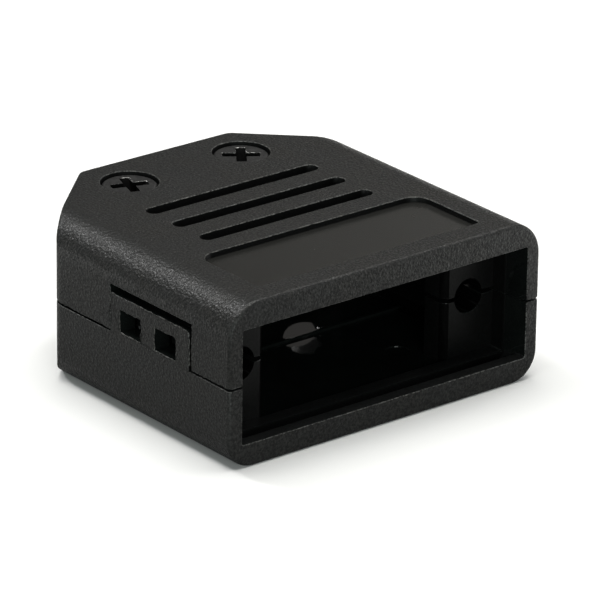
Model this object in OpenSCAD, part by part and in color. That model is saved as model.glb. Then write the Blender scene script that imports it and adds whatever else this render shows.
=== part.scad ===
// Two-part moulded hood for a nine-way D-subminiature connector.
// The halves part at mid-height, snap together at both sides and are screwed together at the cable end.
// +Z is up, the mating face looks along -Y, and the origin is under the middle of the hood.

/* [Housing] */
// Width across the mating end
body_w = 33.8; // [33.4:0.2:42]
// Depth from the mating face to the cable end
body_d = 32.5; // [32:0.5:42]
// Height of the lower shell, up to the parting line
lower_h = 7.3; // [7.2:0.1:9.5]
// Height of the upper shell, above the parting line
upper_h = 7.5; // [7.4:0.1:9.5]
// Thickness of the side and end walls, the floor and the roof
wall = 1.6; // [1.2:0.1:1.8]
// Rounding along the two top side edges
top_r = 3.2; // [2:0.1:3.4]
// Rounding along the two bottom side edges
bottom_r = 2.7; // [2:0.1:3.4]
// Rounding round the mating face
rim_r = 0.35; // [0.1:0.05:0.6]
// Width of the narrow cable end
tail_w = 16.4; // [16:0.2:20]
// Depth of the slanting shoulders
shoulder_d = 8.2; // [7:0.1:9]
// Rounding of the upright corners at the cable end
corner_r = 1.3; // [0.2:0.1:1.6]
// Rounding of the upright edges where the shoulders start
shoulder_r = 2.0; // [0.5:0.1:4]
// Width of the fine groove that shows between the halves
parting_gap = 0.2; // [0.05:0.01:0.3]
// Depth of that groove
parting_depth = 0.5; // [0.2:0.1:0.8]

/* [Connector] */
// Width of the connector's flange
flange_w = 30.8; // [30.4:0.1:31.2]
// Height of the connector's flange
flange_h = 12.5; // [12:0.1:12.6]
// Thickness of the connector's flange
flange_t = 1.3; // [0.8:0.1:1.6]
// Width of the connector's rear body
insert_w = 19.3; // [18:0.1:19.6]
// Height of the connector's rear body
insert_h = 10.6; // [9:0.1:10.8]
// Clearance all round the connector
fit_gap = 0.1; // [0.05:0.01:0.2]
// Height of the mouth in the mating face
mouth_h = 10.3; // [8:0.1:10.8]
// Thickness of the lip in front of the flange
lip_t = 1.25; // [0.8:0.05:2]
// Thickness of the stop behind the flange
stop_t = 1.5; // [1:0.1:2]

/* [Jackscrews] */
// Spacing of the two jackscrews
jack_pitch = 24.99; // [24.5:0.01:25.5]
// Diameter of the jackscrew holes
jack_hole_d = 3.1; // [2.9:0.05:3.5]
// Depth of the guide blocks, front to back
guide_t = 2.5; // [1.5:0.1:2.6]
// Gap between the upper and lower guide blocks
guide_gap = 0.35; // [0.1:0.05:0.6]
// Bevel on the guide blocks' inner upright edges
guide_bevel = 0.6; // [0.2:0.1:1]

/* [Side latches] */
// Distance from the mating face to the latch tab
tab_y = 5.5; // [5:0.1:7]
// Length of the latch tab
tab_l = 10.9; // [10.5:0.1:13]
// Height of the latch tab above the parting line
tab_h = 3.62; // [3.2:0.02:3.8]
// Open space above the latch tab
tab_top_gap = 0.74; // [0.4:0.02:0.8]
// Gap in front of the latch tab
tab_front_gap = 0.3; // [0.1:0.05:0.4]
// Gap behind the latch tab
tab_back_gap = 0.04; // [0.03:0.01:0.2]
// Length of each window in the tab
window_l = 2.9; // [2:0.1:3.2]
// Height of each window
window_h = 2.04; // [1.6:0.02:2.2]
// Height of the windows' sills above the parting line
window_sill = 0.36; // [0.2:0.02:0.6]
// Spacing of the two windows
window_pitch = 4.82; // [4:0.02:5.2]
// Distance from the tab's front edge to the first window
window_y = 1.86; // [1.2:0.02:2.2]
// Thickness of the spring fingers behind the windows
finger_t = 1.0; // [0.8:0.1:1.4]
// How far the fingers' hooks reach into the windows
hook_reach = 0.4; // [0.2:0.05:0.6]

/* [Top face] */
// Number of grip grooves
groove_count = 3; // [1:1:3]
// Length of each grip groove
groove_l = 18.6; // [12:0.2:22]
// Width of each grip groove
groove_w = 1.45; // [0.8:0.05:2]
// Depth of each grip groove
groove_depth = 0.9; // [0.4:0.05:1]
// Spacing of the grip grooves
groove_pitch = 3.77; // [3:0.05:4.2]
// Distance from the mating face to the first grip groove
groove_y = 13.76; // [13:0.05:15]
// Width of the sunken label panel
panel_w = 24.1; // [16:0.2:26]
// Front edge of the label panel, from the mating face
panel_y = 2.44; // [2:0.02:4]
// Length of the label panel, front to back
panel_l = 8.25; // [5:0.05:9]
// Depth of the label panel
panel_depth = 0.5; // [0.2:0.05:0.7]
// Corner rounding at the back of the label panel
panel_r = 1.6; // [0.5:0.1:3]
// Corner rounding at the front of the label panel
panel_front_r = 0.4; // [0.1:0.1:3]

/* [Clamping screws] */
// Spacing of the two screws
screw_pitch = 12.3; // [12:0.1:14]
// Distance from the cable end to the screws
screw_from_end = 4.5; // [4.2:0.1:6]
// Diameter of the screw shanks
screw_d = 2.8; // [2.4:0.05:3]
// Diameter of the screw heads
head_d = 5.0; // [4.6:0.1:5.6]
// Height of the screw heads
head_h = 1.6; // [1:0.1:2]
// Depth of the heads' tops below the roof
head_sink = 0.26; // [0.1:0.02:0.8]
// Turn of the left screw's cross
left_cross_turn = -19; // [-90:1:90]
// Turn of the right screw's cross
right_cross_turn = -36; // [-90:1:90]
// Width of the slots in the screws' crosses
cross_w = 0.9; // [0.6:0.05:1.1]
// Depth of the crosses
cross_depth = 1.2; // [0.8:0.1:1.3]
// Width across the flats of the nuts
nut_af = 5.0; // [4.6:0.1:5.4]
// Height of the nuts
nut_h = 1.8; // [1.4:0.1:2.2]
// Depth of the nuts below the floor's outer face
nut_sink = 0.6; // [0.2:0.1:1]

/* [Cable entry] */
// Diameter of the cable hole
cable_hole_d = 7.0; // [5:0.1:7.4]
// Inner diameter of the strain-relief clamp
clamp_d = 6.2; // [4.5:0.1:6.4]
// Thickness of the clamp's strap
clamp_t = 0.8; // [0.6:0.05:0.9]
// Width of the clamp's strap, front to back
clamp_l = 4.6; // [4:0.1:5.2]
// Depth of the grip ridges inside the clamp
ridge = 0.25; // [0.1:0.05:0.4]

/* [Hidden] */
$fn = 72;

body_h = lower_h + upper_h;
split_z = lower_h;
shoulder_w = (body_w - tail_w) / 2;
shoulder_angle = atan2(shoulder_w, shoulder_d);

mouth_w = flange_w + 2 * fit_gap;
channel_h = flange_h + 2 * fit_gap;
stop_y = lip_t + flange_t + 2 * fit_gap;
guide_y = stop_y + stop_t;
guide_x = insert_w / 2 + fit_gap;
inner_x = body_w / 2 - wall;
channel_r = 1.5;

finger_gap = 0.15;
finger_margin = 0.15;
finger_tip = 0.6;
hook_drop = 0.1;
hook_lip = 0.2;
hook_ramp = 1.3;
tab_front_r = 0.6;
tab_back_r = 0.2;
tab_root = 0.5;

screw_x = screw_pitch / 2;
screw_y = body_d - screw_from_end;
shank_hole_d = screw_d + 0.3;
head_hole_d = head_d + 0.2;
seat_z = body_h - head_sink - head_h;
head_crown = 0.3;
cross_floor_r = 0.8;
cross_mouth_r = 1.75;
thread_gap = 0.03;
shank_past_nut = 0.1;
nut_chamfer = 0.3;
nut_top = nut_sink + nut_h;
nut_hole_af = nut_af + 0.2;
boss_d = 6.0;
boss_wall = 1.2;
collar_d = head_hole_d + 2 * boss_wall;
foot_d = nut_hole_af / cos(30) + 2 * boss_wall;
clamp_r = clamp_d / 2 + clamp_t;
clamp_gap = 0.1;
ridge_w = 0.6;
entry_flare = 1.2;
entry_flare_l = 0.6;

web_t = 1.2;
web_overlap = 0.3;
web_y = screw_y - max(boss_d / 2 - web_overlap, clamp_l / 2 + 2 * clamp_gap) - web_t;
web_w = 14.8;
tongue_t = 0.8;
tongue_drop = 1.2;
tongue_rise = 2;
tongue_gap = 0.1;
tongue_l = 4.5;
tongue_y = tab_y + tab_l + 1.6;
floor_rib_w = 0.5;
floor_rib_h = 0.25;
root = 0.2;
pin_mark_d = 2.2;
pin_mark_depth = 0.12;
pin_mark_x = 8.5;
pin_mark_y = [8.8, 20.6];

plastic = [0.10, 0.10, 0.10];
screw_black = [0.06, 0.06, 0.065];
plated_steel = [0.66, 0.66, 0.64];
over = 1;
sliver = 0.01;
mouth_r = 0.2;

// ---- Outlines ----

function turned(v) = v / norm(v);

// Points of the arc that rounds corner b between its neighbours a and c
function round_corner(a, b, c, r, steps = 8) =
    let (u = turned(a - b), v = turned(c - b), half = acos(u * v) / 2)
    let (centre = b + turned(u + v) * r / sin(half))
    let (start = b + u * r / tan(half) - centre, end = b + v * r / tan(half) - centre)
    let (from = atan2(start.y, start.x), sweep = atan2(end.y, end.x) - from)
    let (turn = sweep > 180 ? sweep - 360 : sweep < -180 ? sweep + 360 : sweep)
    [for (i = [0:steps]) centre + r * [cos(from + turn * i / steps), sin(from + turn * i / steps)]];

// Half-width of the cable end and start of the shoulders, for a plan drawn `inset` inside the outer one
function tail_half(inset) = tail_w / 2 - inset * tan((90 - shoulder_angle) / 2);
function shoulder_start(inset) = body_d - shoulder_d - inset * tan(shoulder_angle / 2);

// Plan of the hood seen from above, drawn `inset` inside the outer one
module plan(inset = 0, front = 0) {
    side = body_w / 2 - inset;
    front_right = [side, front];
    shoulder = [side, shoulder_start(inset)];
    tail = [tail_half(inset), body_d - inset];
    half = concat([front_right],
                  round_corner(front_right, shoulder, tail, shoulder_r),
                  round_corner(shoulder, tail, [-tail.x, tail.y], corner_r));
    count = len(half);
    polygon(concat(half, [for (i = [1:count]) [-half[count - i].x, half[count - i].y]]));
}

// Rectangle centred on x with its own corner roundings at the bottom and the top
module rounded_section(w, low, high, r_low, r_high) {
    middle = (low + high) / 2;
    translate([-w / 2, low + r_low]) square([w, high - low - r_low - r_high]);
    translate([-w / 2 + r_low, low]) square([w - 2 * r_low, middle - low]);
    translate([-w / 2 + r_high, middle]) square([w - 2 * r_high, high - middle]);
    for (side = [-1, 1]) {
        translate([side * (w / 2 - r_low), low + r_low]) circle(r_low);
        translate([side * (w / 2 - r_high), high - r_high]) circle(r_high);
    }
}

// Section drawn on X and Z, swept along Y from `start` over `depth`
module along_y(start, depth) {
    translate([0, start + depth, 0]) rotate([90, 0, 0]) linear_extrude(depth) children();
}

// The hood's form with every face moved `inset` inwards, from `front` to the cable end
module form(inset = 0, front = 0) {
    intersection() {
        along_y(front, body_d - front)
            rounded_section(body_w - 2 * inset, inset, body_h - inset, bottom_r - inset, top_r - inset);
        translate([0, 0, -over]) linear_extrude(body_h + 2 * over) plan(inset, front);
    }
}

// ---- Mating end ----

// Scrap outside the rounded edge: x runs outwards, y runs back from the mating face
module rim_scrap() {
    difference() {
        translate([0, -over]) square([rim_r + over, rim_r + over]);
        translate([0, rim_r]) circle(rim_r);
    }
}

// Everything that the rounding round the mating face takes off
module rim_cut() {
    for (side = [-1, 1]) {
        edge = body_w / 2 - rim_r;
        mirror([side < 0 ? 1 : 0, 0, 0]) {
            translate([edge, 0, bottom_r]) linear_extrude(body_h - bottom_r - top_r) rim_scrap();
            translate([body_w / 2 - top_r, 0, body_h - top_r]) rim_corner(top_r, 0);
            translate([body_w / 2 - bottom_r, 0, bottom_r]) rim_corner(bottom_r, 270);
        }
    }
    rim_straight(body_w - 2 * top_r, body_h - rim_r, 90);
    rim_straight(body_w - 2 * bottom_r, rim_r, -90);
}

module rim_corner(r, from) {
    rotate([90, 0, 0]) rotate([0, 0, from]) rotate_extrude(angle = 90)
        mirror([0, 1]) translate([r - rim_r, 0]) rim_scrap();
}

module rim_straight(length, height, turn) {
    translate([turn > 0 ? length / 2 : -length / 2, 0, height]) rotate([0, -turn, 0])
        linear_extrude(length) rim_scrap();
}

// Mouth, flange channel and the clear way through the stop, one behind the other
module mating_cuts() {
    along_y(-over, lip_t + 2 * over) centred_opening(mouth_w, mouth_h, mouth_r);
    along_y(lip_t, flange_t + 2 * fit_gap) centred_opening(mouth_w, channel_h, channel_r);
    along_y(lip_t + over / 2, guide_y) centred_opening(2 * inner_x, insert_h + 2 * fit_gap, mouth_r);
}

module centred_opening(w, h, r) {
    rounded_section(w, split_z - h / 2, split_z + h / 2, r, r);
}

// The guide blocks that the jackscrews pass through, with bevelled inner edges
module guide_blocks() {
    for (side = [0, 1]) mirror([side, 0, 0])
        translate([0, 0, wall / 2]) linear_extrude(body_h - wall)
            polygon([[guide_x + guide_bevel, guide_y], [inner_x + wall / 2, guide_y],
                     [inner_x + wall / 2, guide_y + guide_t], [guide_x, guide_y + guide_t],
                     [guide_x, guide_y + guide_bevel]]);
}

module jackscrew_holes() {
    for (side = [-1, 1])
        translate([side * jack_pitch / 2, guide_y - over, split_z]) rotate([-90, 0, 0])
            cylinder(d = jack_hole_d, h = body_d);
}

// ---- Cable end ----

module at_screws() {
    for (side = [-1, 1]) translate([side * screw_x, screw_y, 0]) children();
}

// Bosses for the two screws, tied to the end wall, and the cross web in front of the clamp
module tail_frame() {
    at_screws() {
        translate([0, 0, wall / 2]) cylinder(d = boss_d, h = body_h - wall);
        translate([0, 0, wall / 2]) cylinder(d = foot_d, h = nut_top + boss_wall - wall / 2);
        translate([0, 0, seat_z - boss_wall])
            cylinder(d = collar_d, h = body_h - wall / 2 - seat_z + boss_wall);
        translate([-web_t / 2, 0, wall / 2]) cube([web_t, screw_from_end - wall / 2, body_h - wall]);
    }
    translate([-web_w / 2, web_y, wall / 2]) cube([web_w, web_t, body_h - wall]);
}

module tail_cuts() {
    at_screws() {
        translate([0, 0, -over]) cylinder(d = shank_hole_d, h = body_h + 2 * over);
        translate([0, 0, seat_z]) cylinder(d = head_hole_d, h = body_h);
        translate([0, 0, -over]) cylinder(d = nut_hole_af / cos(30), h = nut_top + over, $fn = 6);
    }
    translate([0, web_y - over, split_z]) rotate([-90, 0, 0])
        cylinder(d = cable_hole_d, h = body_d - web_y + 2 * over);
    translate([0, screw_y - clamp_l / 2 - clamp_gap, split_z]) rotate([-90, 0, 0])
        cylinder(r = clamp_r + clamp_gap, h = clamp_l + 2 * clamp_gap);
    translate([0, screw_y, split_z - clamp_t]) linear_extrude(2 * clamp_t) clamp_ears(clamp_gap);
    translate([0, body_d - entry_flare_l, split_z]) rotate([-90, 0, 0])
        cylinder(d1 = cable_hole_d, d2 = cable_hole_d + 2 * entry_flare, h = 2 * entry_flare_l);
}

// Plan of the strap's two ears, grown by `extra`
module clamp_ears(extra = 0) {
    square([screw_pitch, clamp_l + 2 * extra], center = true);
    for (side = [-1, 1]) translate([side * screw_x, 0]) circle(d = clamp_l + 2 * extra);
}

// ---- The whole housing, before it is parted ----

module housing() {
    difference() {
        union() {
            difference() {
                form();
                rim_cut();
                mating_cuts();
                form(wall, guide_y);
            }
            intersection() {
                form(wall / 2, guide_y);
                union() {
                    guide_blocks();
                    tail_frame();
                }
            }
        }
        jackscrew_holes();
        tail_cuts();
        guide_parting();
    }
}

// The guide blocks stop short of the parting line
module guide_parting() {
    for (side = [-1, 1])
        translate([side * (guide_x + inner_x) / 2, guide_y + guide_t / 2, split_z])
            cube([inner_x - guide_x + 2 * sliver, guide_t + 2 * sliver, guide_gap], center = true);
}

// ---- Side latches ----

// Side view of the tab on Y and Z, from `below` under the parting line
module tab_outline(below) {
    front_low = [tab_y, -below];
    front_high = [tab_y, tab_h];
    back_high = [tab_y + tab_l, tab_h];
    back_low = [tab_y + tab_l, -below];
    polygon(concat([front_low], round_corner(front_low, front_high, back_high, tab_front_r),
                   round_corner(front_high, back_high, back_low, tab_back_r), [back_low]));
}

// Outline on Y and Z, given thickness along X at both sides of the hood
module at_both_sides(from_x, thickness) {
    for (side = [0, 1]) mirror([side, 0, 0])
        translate([from_x, 0, split_z]) rotate([90, 0, 90]) linear_extrude(thickness) children();
}

module latch_tabs() {
    at_both_sides(inner_x, wall) difference() {
        tab_outline(tab_root);
        windows();
    }
}

module windows() {
    for (i = [0, 1])
        translate([tab_y + window_y + i * window_pitch, window_sill]) square([window_l, window_h]);
}

// Notch in the upper shell that takes the tab, with its gaps
module latch_notches() {
    at_both_sides(inner_x - finger_gap, wall + over)
        translate([tab_y - tab_front_gap, -over])
            square([tab_l + tab_front_gap + tab_back_gap, tab_h + tab_top_gap + over]);
}

// Spring fingers that hang behind the windows
module latch_fingers() {
    at_both_sides(inner_x - finger_gap - finger_t, finger_t + finger_gap + wall / 2)
        finger_outlines(finger_tip, upper_h - wall / 2);
}

module finger_outlines(low, high) {
    for (i = [0, 1])
        translate([tab_y + window_y + i * window_pitch + finger_margin, low])
            square([window_l - 2 * finger_margin, high - low]);
}

// Hooks on the fingers, flat on top and sloping underneath
module latch_hooks() {
    back = inner_x - finger_gap - finger_t / 2;
    nose = inner_x + hook_reach;
    top = window_sill + window_h - hook_drop;
    for (side = [0, 1], i = [0, 1]) mirror([side, 0, 0])
        translate([0, tab_y + window_y + i * window_pitch + finger_margin, split_z])
            translate([0, window_l - 2 * finger_margin, 0]) rotate([90, 0, 0])
                linear_extrude(window_l - 2 * finger_margin)
                    polygon([[back, top], [nose, top], [nose, top - hook_lip], [back, top - hook_ramp]]);
}

// ---- Parts ----

module placed() {
    translate([0, -body_d / 2, 0]) children();
}

module above(z) {
    translate([-body_w, -over, z]) cube([2 * body_w, body_d + 2 * over, body_h]);
}

module below(z) {
    translate([-body_w, -over, z - body_h]) cube([2 * body_w, body_d + 2 * over, body_h]);
}

// Tongues inside the side walls that centre the upper shell on the lower one
module tongues() {
    for (side = [0, 1]) mirror([side, 0, 0]) {
        inner = inner_x - tongue_gap - tongue_t;
        translate([inner, tongue_y, split_z - tongue_drop])
            cube([tongue_t, tongue_l, tongue_drop + tongue_rise]);
        translate([inner, tongue_y, split_z])
            cube([tongue_t + tongue_gap + wall / 2, tongue_l, tongue_rise]);
    }
}

// Fine groove round the outside, cut in the upper shell's lower edge
module parting_groove() {
    difference() {
        translate([-body_w, -over, split_z]) cube([2 * body_w, body_d + 2 * over, parting_gap]);
        translate([0, 0, split_z - over]) linear_extrude(2 * over) plan(parting_depth, parting_depth);
    }
}

module grip_grooves() {
    straight = groove_l - groove_w;
    for (i = [0:groove_count - 1])
        translate([0, groove_y + i * groove_pitch, body_h - groove_depth])
            linear_extrude(groove_depth + over) {
                square([straight, groove_w], center = true);
                for (side = [-1, 1]) translate([side * straight / 2, 0]) circle(d = groove_w);
            }
}

module label_panel() {
    translate([0, panel_y, body_h - panel_depth]) linear_extrude(panel_depth + over)
        rounded_section(panel_w, 0, panel_l, panel_front_r, panel_r);
}

module upper_shell() {
    color(plastic) placed() {
        difference() {
            union() {
                intersection() {
                    housing();
                    above(split_z);
                }
                intersection() {
                    form(wall / 2, guide_y);
                    latch_fingers();
                }
            }
            latch_notches();
            parting_groove();
            grip_grooves();
            label_panel();
        }
        latch_hooks();
        tongues();
    }
}

// Round marks that the mould's ejector pins leave in the floor
module pin_marks() {
    for (side = [-1, 1], y = pin_mark_y)
        translate([side * pin_mark_x, y, wall - pin_mark_depth]) cylinder(d = pin_mark_d, h = over);
}

module floor_rib() {
    translate([-inner_x, (body_d - floor_rib_w) / 2, wall - root])
        cube([2 * inner_x, floor_rib_w, floor_rib_h + root]);
}

module lower_shell() {
    color(plastic) placed() {
        difference() {
            intersection() {
                housing();
                below(split_z);
            }
            pin_marks();
        }
        latch_tabs();
        floor_rib();
    }
}

// Pan-head screw with a cross recess, its head's seat at z = 0
module screw(cross_turn) {
    length = seat_z - nut_sink + shank_past_nut;
    difference() {
        union() {
            rotate_extrude() polygon(concat(
                [[0, 0], [head_d / 2, 0]],
                round_corner([head_d / 2, 0], [head_d / 2, head_h], [0, head_h], head_crown),
                [[0, head_h]]));
            translate([0, 0, -length]) cylinder(d = screw_d, h = length + head_h / 2);
        }
        rotate([0, 0, cross_turn]) cross_recess();
    }
}

// Crossed slots narrowing towards the bottom
module cross_recess() {
    intersection() {
        for (turn = [0, 90]) rotate([0, 0, turn])
            translate([-head_d / 2, -cross_w / 2, head_h - cross_depth])
                cube([head_d, cross_w, cross_depth + over]);
        translate([0, 0, head_h - cross_depth])
            cylinder(r1 = cross_floor_r, r2 = cross_mouth_r, h = cross_depth + sliver);
    }
}

module hex_nut() {
    tip = nut_af / 2 / cos(30);
    face = nut_af / 2 - nut_chamfer / 6;
    difference() {
        intersection() {
            cylinder(r = tip, h = nut_h, $fn = 6);
            rotate_extrude() polygon([[0, 0], [face, 0], [tip, nut_chamfer],
                                      [tip, nut_h - nut_chamfer], [face, nut_h], [0, nut_h]]);
        }
        translate([0, 0, -over]) cylinder(d = screw_d + 2 * thread_gap, h = nut_h + 2 * over);
    }
}

// One strap of the strain relief, its ears' flat faces at z = 0 and its arch above
module strap() {
    difference() {
        union() {
            linear_extrude(clamp_t) clamp_ears();
            strap_ring(clamp_r, clamp_l);
        }
        rotate([90, 0, 0]) translate([0, 0, -clamp_l]) cylinder(r = clamp_d / 2, h = 2 * clamp_l);
        for (side = [-1, 1]) translate([side * screw_x, 0, -over])
            cylinder(d = shank_hole_d, h = clamp_t + 2 * over);
        translate([-body_w / 2, -clamp_l, -body_h]) cube([body_w, 2 * clamp_l, body_h]);
    }
    for (i = [-1, 1]) translate([0, i * clamp_l / 4, 0]) difference() {
        strap_ring(clamp_d / 2 + clamp_t / 2, ridge_w);
        strap_ring(clamp_d / 2 - ridge, 2 * ridge_w);
        translate([-body_w / 2, -clamp_l, -body_h]) cube([body_w, 2 * clamp_l, body_h]);
    }
}

module strap_ring(r, length) {
    translate([0, length / 2, 0]) rotate([90, 0, 0]) cylinder(r = r, h = length);
}

module screw_left() {
    color(screw_black) placed() translate([-screw_x, screw_y, seat_z]) screw(left_cross_turn);
}

module screw_right() {
    color(screw_black) placed() translate([screw_x, screw_y, seat_z]) screw(right_cross_turn);
}

module nut_left() {
    color(plated_steel) placed() translate([-screw_x, screw_y, nut_sink]) hex_nut();
}

module nut_right() {
    color(plated_steel) placed() translate([screw_x, screw_y, nut_sink]) hex_nut();
}

module clamp_upper() {
    color(plated_steel) placed() translate([0, screw_y, split_z]) strap();
}

module clamp_lower() {
    color(plated_steel) placed() translate([0, screw_y, split_z]) rotate([180, 0, 0]) strap();
}

upper_shell();
lower_shell();
screw_left();
screw_right();
nut_left();
nut_right();
clamp_upper();
clamp_lower();
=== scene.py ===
import math

import bmesh
import bpy
from mathutils import Matrix, Vector, noise
from mathutils.bvhtree import BVHTree


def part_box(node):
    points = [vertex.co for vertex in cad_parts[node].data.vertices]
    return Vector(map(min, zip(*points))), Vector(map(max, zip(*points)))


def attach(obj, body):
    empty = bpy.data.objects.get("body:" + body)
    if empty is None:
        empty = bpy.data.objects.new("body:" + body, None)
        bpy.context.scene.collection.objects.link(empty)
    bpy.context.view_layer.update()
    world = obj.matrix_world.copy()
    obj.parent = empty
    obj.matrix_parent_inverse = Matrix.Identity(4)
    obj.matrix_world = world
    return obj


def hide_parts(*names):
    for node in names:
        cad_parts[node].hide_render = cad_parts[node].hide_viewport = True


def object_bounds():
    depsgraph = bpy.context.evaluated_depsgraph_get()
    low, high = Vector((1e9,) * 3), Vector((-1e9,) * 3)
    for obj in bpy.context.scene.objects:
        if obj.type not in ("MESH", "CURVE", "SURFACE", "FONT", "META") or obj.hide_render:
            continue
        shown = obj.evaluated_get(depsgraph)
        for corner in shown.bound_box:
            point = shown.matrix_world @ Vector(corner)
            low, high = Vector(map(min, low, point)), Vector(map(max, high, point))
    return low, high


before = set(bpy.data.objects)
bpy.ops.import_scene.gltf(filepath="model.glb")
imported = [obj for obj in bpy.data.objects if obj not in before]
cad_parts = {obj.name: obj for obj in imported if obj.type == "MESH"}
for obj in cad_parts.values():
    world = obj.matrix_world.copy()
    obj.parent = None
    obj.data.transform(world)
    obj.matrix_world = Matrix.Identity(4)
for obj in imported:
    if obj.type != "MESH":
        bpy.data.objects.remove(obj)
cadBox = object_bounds()
print("frame loaded:", sorted(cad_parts))

mm = 0.001
scene = bpy.context.scene

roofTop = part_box("upper_shell")[1].z


def newGroup(name, inputs, outputs):
    group = bpy.data.node_groups.new(name, "ShaderNodeTree")
    for label, kind, value in inputs:
        socket = group.interface.new_socket(name=label, in_out="INPUT", socket_type=kind)
        if value is not None:
            socket.default_value = value
    for label, kind in outputs:
        group.interface.new_socket(name=label, in_out="OUTPUT", socket_type=kind)
    return group, group.nodes.new("NodeGroupInput"), group.nodes.new("NodeGroupOutput")


def addNode(tree, kind, **values):
    node = tree.nodes.new(kind)
    for key, value in values.items():
        setattr(node, key, value)
    return node


def mathNode(tree, operation, a, b, clamp=False):
    node = addNode(tree, "ShaderNodeMath", operation=operation, use_clamp=clamp)
    for socket, value in zip(node.inputs, (a, b)):
        if isinstance(value, (int, float)):
            socket.default_value = value
        else:
            tree.links.new(value, socket)
    return node.outputs[0]


def noiseNode(tree, vector, size, detail, roughness):
    # size is the width of a grain in millimetres
    node = addNode(tree, "ShaderNodeTexNoise")
    node.inputs["Scale"].default_value = 1 / (size * mm)
    node.inputs["Detail"].default_value = detail
    node.inputs["Roughness"].default_value = roughness
    tree.links.new(vector, node.inputs["Vector"])
    return node.outputs["Fac"]


# spark-eroded mould texture: small overlapping pits, with a finer grain inside them
sparkTexture = {
    "pitWidth": 0.26,            # mm
    "pitSmoothness": 0.5,
    "grain": (0.20, 2.0, 0.6),   # mm, detail, roughness of the noise
    "speck": (0.19, 2.0, 0.65),
    "speckStart": 0.40,
    "speckGain": 5.0,
    "cloud": (4.0, 3.0, 0.55),
}


def buildSparkGroup():
    group, source, sink = newGroup(
        "sparkTexture",
        [
            ("Vector", "NodeSocketVector", None),
            ("Coarse", "NodeSocketFloat", 0.6),
            ("Fine", "NodeSocketFloat", 0.4),
        ],
        [
            ("Height", "NodeSocketFloat"),
            ("Speck", "NodeSocketFloat"),
            ("Cloud", "NodeSocketFloat"),
        ],
    )
    vector = source.outputs["Vector"]
    pits = addNode(group, "ShaderNodeTexVoronoi", feature="SMOOTH_F1")
    pits.inputs["Scale"].default_value = 1 / (sparkTexture["pitWidth"] * mm)
    pits.inputs["Smoothness"].default_value = sparkTexture["pitSmoothness"]
    group.links.new(vector, pits.inputs["Vector"])
    grain = noiseNode(group, vector, *sparkTexture["grain"])
    coarse = mathNode(group, "MULTIPLY", pits.outputs["Distance"], source.outputs["Coarse"])
    fine = mathNode(group, "MULTIPLY", grain, source.outputs["Fine"])
    group.links.new(mathNode(group, "ADD", coarse, fine), sink.inputs["Height"])
    speck = noiseNode(group, vector, *sparkTexture["speck"])
    above = mathNode(group, "SUBTRACT", speck, sparkTexture["speckStart"])
    sharp = mathNode(group, "MULTIPLY", above, sparkTexture["speckGain"], clamp=True)
    group.links.new(sharp, sink.inputs["Speck"])
    group.links.new(noiseNode(group, vector, *sparkTexture["cloud"]), sink.inputs["Cloud"])
    return group


# fine scratches and faint smears on moulded gloss
smearTexture = {
    "stretch": (1.0, 0.12, 1.0),   # the scratches run from the mouth to the cable end
    "scratch": (0.35, 3.0, 0.6),   # mm, detail, roughness of the noise
    "smear": (2.2, 4.0, 0.6),
}


def buildSmearGroup():
    group, source, sink = newGroup(
        "smears",
        [("Vector", "NodeSocketVector", None)],
        [("Height", "NodeSocketFloat"), ("Smear", "NodeSocketFloat")],
    )
    vector = source.outputs["Vector"]
    stretch = addNode(group, "ShaderNodeMapping", vector_type="POINT")
    stretch.inputs["Scale"].default_value = smearTexture["stretch"]
    group.links.new(vector, stretch.inputs["Vector"])
    scratch = noiseNode(group, stretch.outputs["Vector"], *smearTexture["scratch"])
    group.links.new(scratch, sink.inputs["Height"])
    group.links.new(noiseNode(group, vector, *smearTexture["smear"]), sink.inputs["Smear"])
    return group


sparkGroup = buildSparkGroup()
smearGroup = buildSmearGroup()


def newMaterial(name, specular, metallic=0.0):
    material = bpy.data.materials.new(name)
    material.use_nodes = True
    tree = material.node_tree
    shader = tree.nodes["Principled BSDF"]
    shader.inputs["Specular IOR Level"].default_value = specular
    shader.inputs["Metallic"].default_value = metallic
    place = tree.nodes.new("ShaderNodeTexCoord").outputs["Object"]
    return material, tree, shader, place


def placeGroup(tree, group, place, **values):
    node = tree.nodes.new("ShaderNodeGroup")
    node.node_tree = group
    tree.links.new(place, node.inputs["Vector"])
    for key, value in values.items():
        node.inputs[key].default_value = value
    return node


def shaded(colour, share):
    return [channel * share for channel in colour]


def colourRamp(tree, factor, *stops):
    # each stop is a position and a colour; a new ramp has two elements
    node = tree.nodes.new("ShaderNodeValToRGB")
    for element, (position, colour) in zip(node.color_ramp.elements, stops):
        element.position = position
        element.color = (*colour, 1.0)
    tree.links.new(factor, node.inputs["Fac"])
    return node.outputs["Color"]


def valueRange(tree, factor, low, high):
    node = tree.nodes.new("ShaderNodeMapRange")
    node.inputs["To Min"].default_value = low
    node.inputs["To Max"].default_value = high
    tree.links.new(factor, node.inputs["Value"])
    return node.outputs["Result"]


def setBump(tree, shader, height, distance):
    # distance is the depth of the texture in millimetres
    node = tree.nodes.new("ShaderNodeBump")
    node.inputs["Strength"].default_value = 1.0
    node.inputs["Distance"].default_value = distance * mm
    tree.links.new(height, node.inputs["Height"])
    tree.links.new(node.outputs["Normal"], shader.inputs["Normal"])


# black nylon out of a spark-eroded mould; the grain mixes two blacks
plasticFinish = {
    "pit": (0.0032, 0.0034, 0.0033),
    "peak": (0.0205, 0.0210, 0.0204),
    "grainBand": (0.15, 0.85),       # of the speck, from pit to peak
    "plain": (1.0, 1.0, 1.0),
    "warm": (1.04, 1.0, 0.95),       # tint of the patches where the mould has polished
    "warmBand": (0.38, 0.66),        # of the cloud, from plain to warm
    "coarse": 0.55,
    "fine": 0.85,
    "roughness": (0.53, 0.32),       # in the pits, on the peaks
    "specular": 0.34,
    "bumpDepth": 0.065,              # mm
}


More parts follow.
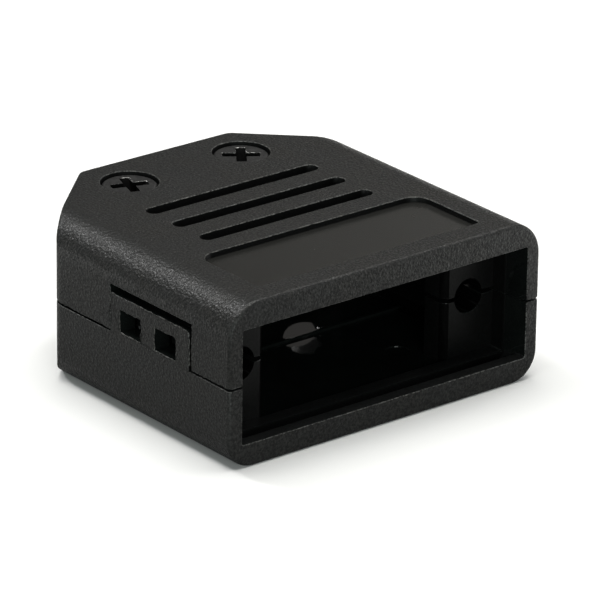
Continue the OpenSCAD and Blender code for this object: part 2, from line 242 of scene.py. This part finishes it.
def makeTexturedPlastic(name, lift, bumpShare):
    # lift brightens the peaks; on the edges this is partly rubbed wear and partly a painted highlight
    plan = plasticFinish
    material, tree, shader, place = newMaterial(name, plan["specular"])
    spark = placeGroup(tree, sparkGroup, place, Coarse=plan["coarse"], Fine=plan["fine"])
    speck = spark.outputs["Speck"]
    low, high = plan["grainBand"]
    grain = colourRamp(tree, speck, (low, plan["pit"]), (high, shaded(plan["peak"], lift)))
    low, high = plan["warmBand"]
    tint = colourRamp(tree, spark.outputs["Cloud"], (low, plan["plain"]), (high, plan["warm"]))
    mixed = addNode(tree, "ShaderNodeMix", data_type="RGBA", blend_type="MULTIPLY")
    mixed.inputs["Factor"].default_value = 1.0
    tree.links.new(grain, mixed.inputs["A"])
    tree.links.new(tint, mixed.inputs["B"])
    tree.links.new(mixed.outputs["Result"], shader.inputs["Base Color"])
    tree.links.new(valueRange(tree, speck, *plan["roughness"]), shader.inputs["Roughness"])
    setBump(tree, shader, spark.outputs["Height"], plan["bumpDepth"] * bumpShare)
    return material


insideFinish = {
    "colour": (0.0050, 0.0062, 0.0058),
    "smearBand": (0.3, 0.8),     # of the smears, from clean to dull
    "smearShade": (1.0, 1.6),
    "roughness": (0.02, 0.05),
    "specular": 0.42,
    "bumpDepth": 0.0003,         # mm
}
labelFinish = {
    "colour": (0.0149, 0.0149, 0.0137),
    "smearBand": (0.25, 0.75),
    "smearShade": (0.92, 1.08),
    "roughness": (0.24, 0.29),
    "specular": 0.42,
    "bumpDepth": 0.0006,
}


def makeSmoothPlastic(name, plan):
    material, tree, shader, place = newMaterial(name, plan["specular"])
    smear = placeGroup(tree, smearGroup, place)
    amount = smear.outputs["Smear"]
    shades = [shaded(plan["colour"], share) for share in plan["smearShade"]]
    colour = colourRamp(tree, amount, *zip(plan["smearBand"], shades))
    tree.links.new(colour, shader.inputs["Base Color"])
    tree.links.new(valueRange(tree, amount, *plan["roughness"]), shader.inputs["Roughness"])
    setBump(tree, shader, smear.outputs["Height"], plan["bumpDepth"])
    return material


# painted shade: these colours are far darker than the outside nylon and stand in for the shade in the
# grooves and inside the mouth
guideShadePlan = {
    "pit": (0.0024, 0.0026, 0.0026),
    "peak": (0.0056, 0.0060, 0.0060),
    "band": (0.25, 0.75),
    "smearShare": 0.5,
    "coarse": 0.4,
    "fine": 0.6,
    "roughness": 0.42,
    "specular": 0.2,
    "bumpDepth": 0.02,           # mm
}


def makeLitOrShadedGuide(name, lift):
    # the faces just inside the mouth are matt; their dark colours paint the shade there, and lift
    # scales them, below 1 for more painted shade and above 1 for painted light
    plan = guideShadePlan
    material, tree, shader, place = newMaterial(name, plan["specular"])
    shader.inputs["Roughness"].default_value = plan["roughness"]
    spark = placeGroup(tree, sparkGroup, place, Coarse=plan["coarse"], Fine=plan["fine"])
    smear = placeGroup(tree, smearGroup, place)
    mixed = addNode(tree, "ShaderNodeMix", data_type="FLOAT")
    mixed.inputs["Factor"].default_value = plan["smearShare"]
    tree.links.new(spark.outputs["Speck"], mixed.inputs["A"])
    tree.links.new(smear.outputs["Smear"], mixed.inputs["B"])
    low, high = plan["band"]
    stops = (low, shaded(plan["pit"], lift)), (high, shaded(plan["peak"], lift))
    colour = colourRamp(tree, mixed.outputs["Result"], *stops)
    tree.links.new(colour, shader.inputs["Base Color"])
    setBump(tree, shader, spark.outputs["Height"], plan["bumpDepth"])
    return material


# each metal's colour runs from the first to the second colour over its band of the spark
# texture, and its roughness is one value or a range that follows the cloud
screwFinish = {
    "pattern": "Speck",
    "colours": ((0.018, 0.018, 0.018), (0.036, 0.036, 0.036)),
    "band": (0.2, 0.8),
    "coarse": 0.4,
    "fine": 0.7,
    "roughness": (0.36, 0.52),
    "specular": 0.35,
    "metallic": 0.4,
    "bumpDepth": 0.03,           # mm
}
# bare steel shows through where the driver has rubbed
wornFinish = {
    "pattern": "Speck",
    "colours": (screwFinish["colours"][1], (0.34, 0.34, 0.33)),
    "band": (0.35, 0.9),
    "coarse": 0.3,
    "fine": 0.5,
    "roughness": 0.3,
    "specular": 0.5,
    "metallic": 0.9,
    "bumpDepth": 0.012,
}
# painted shade: a near-black colour for the cross of a screw and the jackscrew ways, which little
# light reaches
recessShadePlan = {
    "pattern": "Speck",
    "colours": ((0.0010, 0.0010, 0.0010), (0.0020, 0.0020, 0.0020)),
    "band": (0.3, 0.9),
    "coarse": 0.6,
    "fine": 0.4,
    "roughness": 0.55,
    "specular": 0.03,
    "metallic": 0.0,
    "bumpDepth": 0.01,
}
zincFinish = {
    "pattern": "Cloud",
    "colours": ((0.42, 0.43, 0.43), (0.62, 0.62, 0.60)),
    "band": (0.3, 0.7),
    "coarse": 0.2,
    "fine": 0.6,
    "roughness": (0.24, 0.42),
    "specular": 0.5,
    "metallic": 1.0,
    "bumpDepth": 0.004,
}


def makeSpeckled(name, plan):
    material, tree, shader, place = newMaterial(name, plan["specular"], plan["metallic"])
    spark = placeGroup(tree, sparkGroup, place, Coarse=plan["coarse"], Fine=plan["fine"])
    colour = colourRamp(tree, spark.outputs[plan["pattern"]], *zip(plan["band"], plan["colours"]))
    tree.links.new(colour, shader.inputs["Base Color"])
    if isinstance(plan["roughness"], tuple):
        rough = valueRange(tree, spark.outputs["Cloud"], *plan["roughness"])
        tree.links.new(rough, shader.inputs["Roughness"])
    else:
        shader.inputs["Roughness"].default_value = plan["roughness"]
    setBump(tree, shader, spark.outputs["Height"], plan["bumpDepth"])
    return material


outsidePlastic = makeTexturedPlastic("spark-textured black", lift=1.0, bumpShare=1.0)
# partly rubbed wear, partly painted highlight: the edge peaks are brightened 4.2 times
edgeWearAndHighlight = makeTexturedPlastic("black edges, rubbed and painted highlight", lift=4.2, bumpShare=1.2)
insidePlastic = makeSmoothPlastic("moulded gloss inside", insideFinish)
# painted shade: a dark copy of the nylon for the grip grooves, inner side walls and guide faces
guideShadePlastic = makeLitOrShadedGuide("matt guide faces with painted shade", lift=0.7)
# painted light: a brighter copy of the same nylon for the up-facing ledge just behind the mouth
ledgeLightPlastic = makeLitOrShadedGuide("matt ledge with painted light", lift=2.2)
labelPlastic = makeSmoothPlastic("label panel satin", labelFinish)
screwBlack = makeSpeckled("blackened screw steel", screwFinish)
screwWorn = makeSpeckled("worn screw edges", wornFinish)
recessShade = makeSpeckled("painted shade in deep recesses", recessShadePlan)
zincPlate = makeSpeckled("zinc plate", zincFinish)
print("finishes ready")


meshPlan = {
    "weld": 0.0005,        # mm, points nearer than this become one
    "flatAngle": 0.5,      # degrees, faces that turn less become one
    "hullWeld": 0.001,     # mm
    "smoothAngle": 50,     # degrees, edges that turn less are shaded smooth
}

# lengths in mm, angles in degrees, and a facing is a part of the face's unit normal
shellPiece = {
    "edgeRound": 0.07,         # rounding of the moulded edges
    "innerRound": 0.05,        # rounding of the edges inside
    "sharpAngle": 32,
    "uprightEdge": 0.7,        # upward part of an edge that counts as upright
    "skin": 0.03,              # how near the outer form a face lies to be textured
    "facesUp": 0.99,
    "leansUp": 0.3,
    "facesMouth": -0.7,
    "facesSquarely": 0.985,
    "labelSunk": (0.2, 0.8),   # under the roof, the band that holds the label's floor
    "grooveSunk": 1.2,         # under the roof, deeper than the grip grooves
    "grooveStart": 2.0,        # behind the mating face
    "ledgeReach": 4.0,         # behind the mating face, where the matt ledge ends
    "guideReach": 9.0,         # behind it, where the matt guide faces end
    "wallReach": 20.0,         # behind it, where the matt side walls end
    "sideWalls": (9.5, 15.4),  # from the middle, from the guide blocks to the walls
    "partingHeight": 7.2,
    "partingBand": 0.4,        # to each side of it
    "burr": 0.09,              # mould flash round the latch tabs
    "burrStep": 0.25,          # between the cuts that it bends at
    "burrGrain": 0.35,         # width of its bumps
    "burrSeed": 3,
    "burrSide": 16.2,          # from the middle
    "burrHeight": (7.4, 11.5),
}


def mergedCopy(node):
    bm = bmesh.new()
    bm.from_mesh(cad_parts[node].data)
    weld = meshPlan["weld"] * mm
    bmesh.ops.remove_doubles(bm, verts=bm.verts, dist=weld)
    bmesh.ops.dissolve_degenerate(bm, edges=bm.edges, dist=weld)
    flat = math.radians(meshPlan["flatAngle"])
    bmesh.ops.dissolve_limit(bm, angle_limit=flat, verts=bm.verts, edges=bm.edges)
    return bm


def outerForm():
    hull = bmesh.new()
    for node in ("upper_shell", "lower_shell"):
        hull.from_mesh(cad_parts[node].data)
    bmesh.ops.remove_doubles(hull, verts=hull.verts, dist=meshPlan["hullWeld"] * mm)
    made = bmesh.ops.convex_hull(hull, input=hull.verts)
    loose = [g for g in made["geom_interior"] if isinstance(g, bmesh.types.BMVert)]
    bmesh.ops.delete(hull, geom=loose, context="VERTS")
    kept = {g for g in made["geom"] if isinstance(g, bmesh.types.BMFace)}
    bmesh.ops.delete(hull, geom=[f for f in hull.faces if f not in kept], context="FACES")
    tree = BVHTree.FromBMesh(hull)
    hull.free()
    return tree


def finishPiece(bm, name, node, materials):
    mesh = bpy.data.meshes.new(name)
    smooth = math.radians(meshPlan["smoothAngle"])
    for face in bm.faces:
        face.smooth = True
    for edge in bm.edges:
        edge.smooth = edge.calc_face_angle(0) < smooth
    bm.to_mesh(mesh)
    bm.free()
    for material in materials:
        mesh.materials.append(material)
    piece = bpy.data.objects.new(name, mesh)
    scene.collection.objects.link(piece)
    weighted = piece.modifiers.new("flat faces stay flat", "WEIGHTED_NORMAL")
    weighted.keep_sharp = True
    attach(piece, "root")
    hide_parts(node)
    print(name, len(mesh.polygons), "faces")


def convexCorners(bm, degrees):
    sharp = math.radians(degrees)
    outward = [e for e in bm.edges if len(e.link_faces) == 2 and e.is_convex]
    return [e for e in outward if e.calc_face_angle(0) > sharp]


def roundEdges(bm, edges, width, finish, burr=0.0):
    # burr shifts the rounded edges unevenly, as mould flash does; the edges go in a fixed order
    bm.edges.index_update()
    chosen = sorted((e for e in edges if e.is_valid), key=lambda edge: edge.index)
    result = bmesh.ops.bevel(
        bm, geom=chosen, offset=width * mm, offset_type="OFFSET", affect="EDGES",
        segments=2, profile=0.5, material=-1, clamp_overlap=False,
    )
    for face in result["faces"]:
        face.material_index = finish
    if burr:
        grain = shellPiece["burrGrain"] * mm
        for vert in {v for face in result["faces"] for v in face.verts}:
            vert.co += noise.noise_vector(vert.co / grain) * burr * mm


# where each finish stands in a shell's list of materials; some of them are painted shade or painted
# light
textured, rubbedAndHighlit, gloss, label, matt, ledge, boreShade = range(7)
shellMaterials = [
    outsidePlastic, edgeWearAndHighlight, insidePlastic, labelPlastic, guideShadePlastic, ledgeLightPlastic, recessShade,
]


def shellFinish(face, form):
    plan = shellPiece
    centre = face.calc_center_median()
    sunk = (roofTop - centre.z) / mm
    behind = (centre.y - cadBox[0][1]) / mm
    aside = abs(centre.x) / mm
    if form.find_nearest(centre)[3] < plan["skin"] * mm:
        return textured
    shallow, deep = plan["labelSunk"]
    if face.normal.z > plan["facesUp"] and shallow < sunk < deep:
        return label
    # painted shade: the grip grooves get the dark matt copy
    if sunk < plan["grooveSunk"] and behind > plan["grooveStart"]:
        return matt
    # painted light: up-facing faces near the mouth get the brighter ledge copy
    if face.normal.z > plan["leansUp"] and behind < plan["ledgeReach"]:
        return ledge
    start, stop = plan["sideWalls"]
    upright = abs(face.normal.z) < plan["facesUp"]
    parting = abs(centre.z / mm - plan["partingHeight"]) < plan["partingBand"]
    # painted shade: the inner side walls get the dark matt copy, and the curved jackscrew ways the
    # near-black one
    if start < aside < stop and behind < plan["wallReach"] and (upright or parting):
        square = max(abs(value) for value in face.normal) > plan["facesSquarely"]
        return matt if square else boreShade
    # painted shade: faces toward the mouth near the front get the dark matt copy
    if face.normal.y < plan["facesMouth"] and behind < plan["guideReach"]:
        return matt
    return gloss


def carriesFlash(edge):
    middle = (edge.verts[0].co + edge.verts[1].co) / 2 / mm
    low, high = shellPiece["burrHeight"]
    return abs(middle.x) > shellPiece["burrSide"] and low < middle.z < high


def edgeRise(edge):
    first, second = edge.verts
    return abs((first.co - second.co).normalized().z)


def makeShell(node, name, form):
    plan = shellPiece
    bm = mergedCopy(node)
    for face in bm.faces:
        face.material_index = shellFinish(face, form)
    for edge in [e for e in convexCorners(bm, plan["sharpAngle"]) if carriesFlash(e)]:
        cuts = int(edge.calc_length() / (plan["burrStep"] * mm))
        if cuts:
            bmesh.ops.subdivide_edges(bm, edges=[edge], cuts=cuts)
    corners = convexCorners(bm, plan["sharpAngle"])
    outer = [e for e in corners if any(f.material_index == textured for f in e.link_faces)]
    # upright edges deep inside stay keen
    upright = {e for e in corners if edgeRise(e) > plan["uprightEdge"]}
    inner = [e for e in corners if e not in outer and e not in upright]
    flashed = [e for e in outer if carriesFlash(e)]
    # the outer edges get the brightened copy, partly rubbed wear and partly painted highlight
    roundEdges(bm, [e for e in outer if e not in flashed], plan["edgeRound"], rubbedAndHighlit)
    roundEdges(bm, flashed, plan["edgeRound"], rubbedAndHighlit, plan["burr"])
    roundEdges(bm, inner, plan["innerRound"], gloss)
    finishPiece(bm, name, node, shellMaterials)


metalPiece = {
    "round": 0.04,          # mm
    "sharpAngle": 32,       # degrees
    "crossReach": 1.9,      # mm from the screw's axis
    "cross": (0.12, 2.0),   # mm under the top of the head
    "rubbedAndHighlit": 0.4,          # mm under it
}


def makeMetal(node, name, materials):
    # the materials are the body's, the edges' and, for a screw, the painted shade of the cross recess
    plan = metalPiece
    bm = mergedCopy(node)
    low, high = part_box(node)
    middle = (low + high) / 2
    corners = convexCorners(bm, plan["sharpAngle"])
    if len(materials) > 2:
        shallow, deep = plan["cross"]
        for face in bm.faces:
            centre = face.calc_center_median()
            reach = (centre.xy - middle.xy).length / mm
            if reach < plan["crossReach"] and shallow < (high.z - centre.z) / mm < deep:
                # painted shade: the cross recess gets the near-black colour
                face.material_index = 2
        # only the mouth of the cross and the rim of the head are rubbed
        lowest = high.z - plan["rubbedAndHighlit"] * mm
        corners = [e for e in corners if all(v.co.z > lowest for v in e.verts)]
    roundEdges(bm, corners, plan["round"], 1)
    finishPiece(bm, name, node, materials)


noise.seed_set(shellPiece["burrSeed"])  # the same flash in each run
form = outerForm()
makeShell("upper_shell", "upperShellMoulding", form)
makeShell("lower_shell", "lowerShellMoulding", form)
screwMaterials = [screwBlack, screwWorn, recessShade]
platedMaterials = [zincPlate, zincPlate]
for side in ("left", "right"):
    makeMetal("screw_" + side, side + "Screw", screwMaterials)
    makeMetal("nut_" + side, side + "Nut", platedMaterials)
makeMetal("clamp_upper", "upperClamp", platedMaterials)
makeMetal("clamp_lower", "lowerClamp", platedMaterials)


# lengths in metres
floorPlan = {
    "size": 4.0,
    "colour": (0.90, 0.90, 0.90),
    "roughness": 0.9,
    "specular": 0.1,
    "bounce": (0.30, 0.90),      # dull round the hood, bright to the right and behind
    "right": (0.022, 0.034),     # over which it brightens
    "behind": (0.042, 0.050),
}


def makeFloor():
    bm = bmesh.new()
    bmesh.ops.create_grid(bm, x_segments=1, y_segments=1, size=floorPlan["size"] / 2)
    mesh = bpy.data.meshes.new("floor")
    bm.to_mesh(mesh)
    bm.free()
    floor = bpy.data.objects.new("floor", mesh)
    floor.location.z = cadBox[0][2]
    scene.collection.objects.link(floor)
    material, tree, shader, place = newMaterial("pale floor", floorPlan["specular"])
    shader.inputs["Roughness"].default_value = floorPlan["roughness"]
    # the floor bounces less light onto the hood than it shows: painted shade round the hood and a
    # painted pool of light to the right and behind, seen only in reflections and bounce
    apart = tree.nodes.new("ShaderNodeSeparateXYZ")
    tree.links.new(place, apart.inputs["Vector"])
    ramps = []
    for axis, side in (("X", "right"), ("Y", "behind")):
        ramp = tree.nodes.new("ShaderNodeMapRange")
        start, stop = floorPlan[side]
        ramp.inputs["From Min"].default_value = start
        ramp.inputs["From Max"].default_value = stop
        dull, bright = floorPlan["bounce"]
        ramp.inputs["To Min"].default_value = dull
        ramp.inputs["To Max"].default_value = bright
        tree.links.new(apart.outputs[axis], ramp.inputs["Value"])
        ramps.append(ramp.outputs["Result"])
    path = tree.nodes.new("ShaderNodeLightPath")
    mixed = addNode(tree, "ShaderNodeMix", data_type="RGBA")
    tree.links.new(mathNode(tree, "MAXIMUM", *ramps), mixed.inputs["A"])
    mixed.inputs["B"].default_value = (*floorPlan["colour"], 1.0)
    tree.links.new(path.outputs["Is Camera Ray"], mixed.inputs["Factor"])
    tree.links.new(mixed.outputs["Result"], shader.inputs["Base Color"])
    mesh.materials.append(material)


# place and size in metres, power in watts, colour; all aim at the middle of the hood
lamps = {
    "overhead": ((0.0, 0.05, 1.10), 0.90, 12.9, (1.0, 0.995, 0.96)),
    "shoulder strip": ((-0.25, 0.79, 0.74), 0.20, 3.9, (1.0, 1.0, 1.0)),
    "front left softbox": ((-0.50, -0.95, 0.25), 0.60, 5.3, (0.93, 1.0, 0.97)),
    "left fill": ((-0.95, -0.10, 0.35), 0.60, 1.5, (0.90, 1.0, 0.96)),
    "right fill": ((0.98, -0.42, 0.32), 0.50, 2.6, (1.0, 1.0, 1.0)),
    "back right glow": ((0.785, 0.641, 0.428), 0.50, 0.14, (1.0, 0.96, 0.90)),
    "label sheen": ((0.756, 0.680, 0.419), 0.12, 0.105, (1.0, 0.97, 0.93)),
    "front edge strip": ((0.62, 0.11, 0.90), 0.20, 1.5, (1.0, 1.0, 1.0)),
}


# the room looks pale and lights the hood very little
room = {
    "colour": (0.97, 0.98, 1.0),
    "strength": (0.02, 1.0),     # on the hood, to the camera
}


def makeLamps():
    middle = Vector((0, 0, roofTop / 2))
    for name, (place, size, power, colour) in lamps.items():
        lamp = bpy.data.lights.new(name, "AREA")
        lamp.shape = "SQUARE"
        lamp.size = size
        lamp.energy = power
        lamp.color = colour
        holder = bpy.data.objects.new(name, lamp)
        holder.location = place
        holder.rotation_euler = (middle - Vector(place)).to_track_quat("-Z", "Y").to_euler()
        scene.collection.objects.link(holder)


def makeRoom():
    world = bpy.data.worlds.new("studio")
    world.use_nodes = True
    tree = world.node_tree
    backdrop = tree.nodes["Background"]
    backdrop.inputs["Color"].default_value = (*room["colour"], 1.0)
    path = tree.nodes.new("ShaderNodeLightPath")
    glow = valueRange(tree, path.outputs["Is Camera Ray"], *room["strength"])
    tree.links.new(glow, backdrop.inputs["Strength"])
    scene.world = world


cameraView = {
    "target": (1.867 * mm, -2.111 * mm, 6.266 * mm),
    "distance": 0.44981,         # metres
    "azimuth": -38.938,          # degrees
    "elevation": 22.434,
    "roll": 0.792,
    "lens": 311.91,              # mm
    "sensor": 36.0,
    "clip": (0.01, 20.0),        # metres
}


def makeCamera():
    data = bpy.data.cameras.new("camera")
    data.lens = cameraView["lens"]
    data.sensor_width = cameraView["sensor"]
    data.clip_start, data.clip_end = cameraView["clip"]
    camera = bpy.data.objects.new("camera", data)
    azimuth = math.radians(cameraView["azimuth"])
    elevation = math.radians(cameraView["elevation"])
    level = math.cos(elevation)
    back = Vector((math.sin(azimuth) * level, -math.cos(azimuth) * level, math.sin(elevation)))
    camera.location = Vector(cameraView["target"]) + back * cameraView["distance"]
    turn = back.to_track_quat("Z", "Y").to_matrix().to_4x4()
    roll = Matrix.Rotation(math.radians(cameraView["roll"]), 4, "Z")
    camera.rotation_euler = (turn @ roll).to_euler()
    scene.collection.objects.link(camera)
    scene.camera = camera


makeFloor()
makeLamps()
makeRoom()
makeCamera()
print("studio ready")
scene.view_settings.view_transform = "Standard"
scene.view_settings.look = "None"
